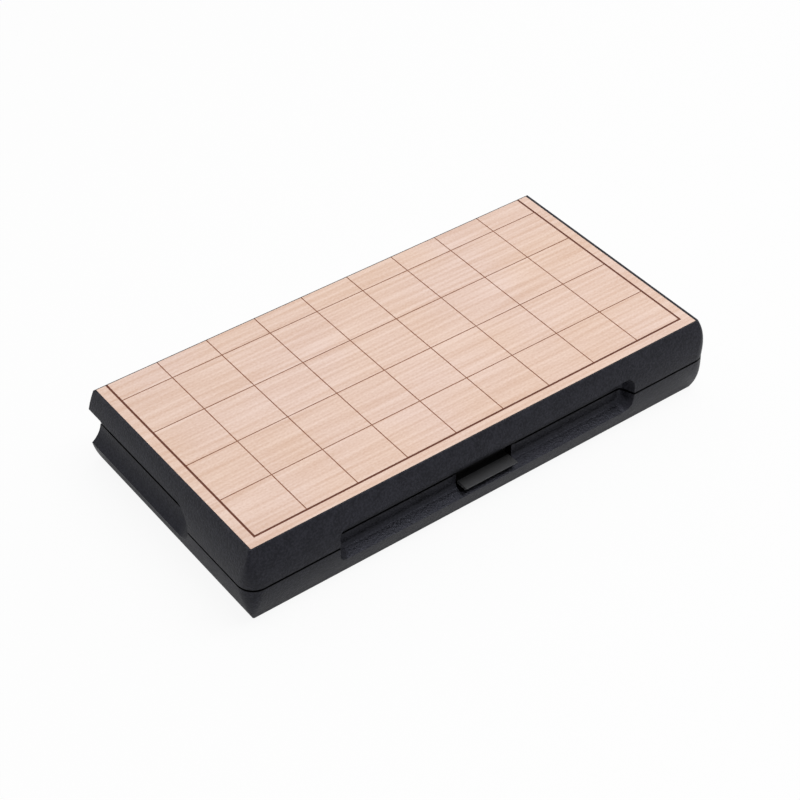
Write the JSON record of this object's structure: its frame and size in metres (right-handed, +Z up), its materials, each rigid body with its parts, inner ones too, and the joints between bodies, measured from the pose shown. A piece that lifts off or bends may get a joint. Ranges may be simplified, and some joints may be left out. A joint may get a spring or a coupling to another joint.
{
  "type": "magnetic folding shogi set",
  "caption": "Folding board-game case: gridded magnetic board on its outer faces, hinged halves, front latch, finger channels and stored wedge-shaped pieces.",
  "frame": {"origin": "centre of the footprint of the folded set, on the surface it lies on", "axes": "+X along the long side, +Y from the latch at the front to the hinge at the back, +Z up"},
  "size_m": [0.25, 0.1266, 0.0386],
  "materials": {
    "case_plastic": "fine moulded texture",
    "latch_plastic": "smooth satin",
    "board_laminate": "printed wood grain and grid",
    "sheet_steel": "tinned",
    "piece_plastic": "satin, boxwood colour",
    "magnet_nickel": "nickel plate",
    "pin_steel": "drawn wire"
  },
  "bodies": {
    "lower_half": {"lower_case": "case_plastic", "lower_board_sheet": "board_laminate", "lower_steel_sheet": "sheet_steel", "lower_king": "piece_plastic", "lower_rook": "piece_plastic", "lower_bishop": "piece_plastic", "lower_gold_1": "piece_plastic", "lower_gold_2": "piece_plastic", "lower_silver_1": "piece_plastic", "lower_silver_2": "piece_plastic", "lower_knight_1": "piece_plastic", "lower_knight_2": "piece_plastic", "lower_lance_1": "piece_plastic", "lower_lance_2": "piece_plastic", "lower_pawn_1": "piece_plastic", "lower_pawn_2": "piece_plastic", "lower_pawn_3": "piece_plastic", "lower_pawn_4": "piece_plastic", "lower_pawn_5": "piece_plastic", "lower_pawn_6": "piece_plastic", "lower_pawn_7": "piece_plastic", "lower_pawn_8": "piece_plastic", "lower_pawn_9": "piece_plastic", "lower_piece_magnets": "magnet_nickel", "hinge_pin_left": "pin_steel", "hinge_pin_right": "pin_steel"},
    "upper_half": {"upper_case": "case_plastic", "upper_board_sheet": "board_laminate", "upper_steel_sheet": "sheet_steel", "upper_king": "piece_plastic", "upper_rook": "piece_plastic", "upper_bishop": "piece_plastic", "upper_gold_1": "piece_plastic", "upper_gold_2": "piece_plastic", "upper_silver_1": "piece_plastic", "upper_silver_2": "piece_plastic", "upper_knight_1": "piece_plastic", "upper_knight_2": "piece_plastic", "upper_lance_1": "piece_plastic", "upper_lance_2": "piece_plastic", "upper_pawn_1": "piece_plastic", "upper_pawn_2": "piece_plastic", "upper_pawn_3": "piece_plastic", "upper_pawn_4": "piece_plastic", "upper_pawn_5": "piece_plastic", "upper_pawn_6": "piece_plastic", "upper_pawn_7": "piece_plastic", "upper_pawn_8": "piece_plastic", "upper_pawn_9": "piece_plastic", "upper_piece_magnets": "magnet_nickel"},
    "latch": {"latch": "latch_plastic"}
  },
  "joints": [
    {"name": "lid_fold", "type": "hinge", "parent": "lower_half", "child": "upper_half", "pos_m": [0, 0.06075, 0.0193], "axis": [-1, 0, 0], "range_deg": [0, 180]},
    {"name": "latch_press", "type": "hinge", "parent": "lower_half", "child": "latch", "pos_m": [0, -0.05215, 0.0095], "axis": [1, 0, 0], "range_deg": [0, 8], "stiffness_Nm_per_rad": 0.2}
  ]
}
